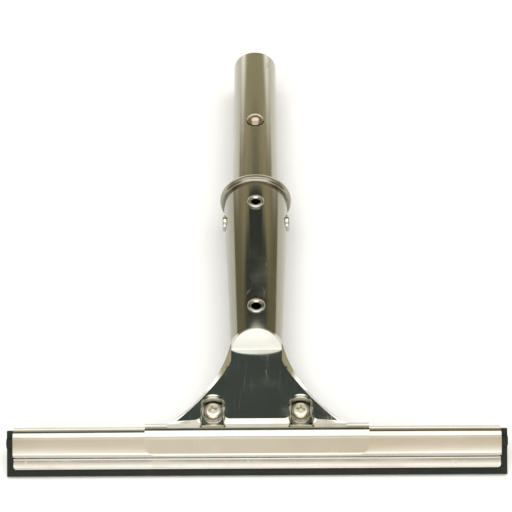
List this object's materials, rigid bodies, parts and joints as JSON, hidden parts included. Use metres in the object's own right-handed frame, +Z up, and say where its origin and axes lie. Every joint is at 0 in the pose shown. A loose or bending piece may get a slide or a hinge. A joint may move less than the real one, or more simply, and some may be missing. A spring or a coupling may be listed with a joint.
{
  "type": "window cleaning squeegee",
  "caption": "Metal window squeegee: rubber strip in a sliding channel, clamped by two screwed jaws on a tapered handle whose spigot locks into an extension pole with a snap button.",
  "frame": {"origin": "under the middle of the squeegee's bounding box, on the surface it lies on", "axes": "+X along the blade, +Y along the handle away from the blade, +Z up, out of the yoke's front face"},
  "size_m": [0.2092, 0.241, 0.034],
  "materials": {
    "rubber": "matte black natural rubber",
    "polished_steel": "polished stainless steel",
    "tube_steel": "drawn stainless tube, fine polish",
    "screw_steel": "bright zinc plated steel",
    "rivet_steel": "polished steel",
    "button_steel": "polished steel",
    "spring_steel": "spring steel"
  },
  "bodies": {
    "handle": {"front_jaw": "polished_steel", "handle_sleeve": "polished_steel", "collar": "polished_steel", "spigot_tube": "tube_steel", "window_rivet_front": "rivet_steel", "window_rivet_right": "rivet_steel", "window_rivet_rear": "rivet_steel", "window_rivet_left": "rivet_steel", "lower_rivet": "rivet_steel", "button_spring": "spring_steel"},
    "button": {"snap_button": "button_steel"},
    "rear_jaw": {"rear_jaw": "polished_steel", "clamp_nut_left": "screw_steel", "clamp_nut_right": "screw_steel"},
    "left_screw": {"clamp_screw_left": "screw_steel"},
    "right_screw": {"clamp_screw_right": "screw_steel"},
    "channel": {"channel": "polished_steel"},
    "blade": {"rubber_blade": "rubber", "end_clip_left": "spring_steel", "end_clip_right": "spring_steel"}
  },
  "joints": [
    {"name": "snap_button_press", "type": "slide", "parent": "handle", "child": "button", "axis": [0, 0, -1], "range_m": [0, 0.003], "stiffness_N_per_m": 900, "springref_m": -0.004, "deforming": ["button_spring"]},
    {"name": "left_screw_turn", "type": "hinge", "parent": "handle", "child": "left_screw", "pos_m": [-0.0185, -0.09653, 0.0122], "axis": [0, 0, 1], "range_deg": [0, 720]},
    {"name": "right_screw_turn", "type": "hinge", "parent": "handle", "child": "right_screw", "pos_m": [0.0185, -0.09653, 0.0122], "axis": [0, 0, 1], "range_deg": [0, 720]},
    {"name": "rear_jaw_open", "type": "slide", "parent": "handle", "child": "rear_jaw", "axis": [0, 0, -1], "range_m": [0, 0.0014]},
    {"name": "channel_slide", "type": "slide", "parent": "handle", "child": "channel", "axis": [1, 0, 0], "range_m": [-0.05, 0.05]},
    {"name": "rubber_slide", "type": "slide", "parent": "channel", "child": "blade", "axis": [1, 0, 0], "range_m": [-0.1, 0.1]}
  ],
  "couplings": [
    {"joint": "left_screw_turn", "follows": "rear_jaw_open", "rad_per_m": 8976},
    {"joint": "right_screw_turn", "follows": "rear_jaw_open", "rad_per_m": 8976}
  ]
}
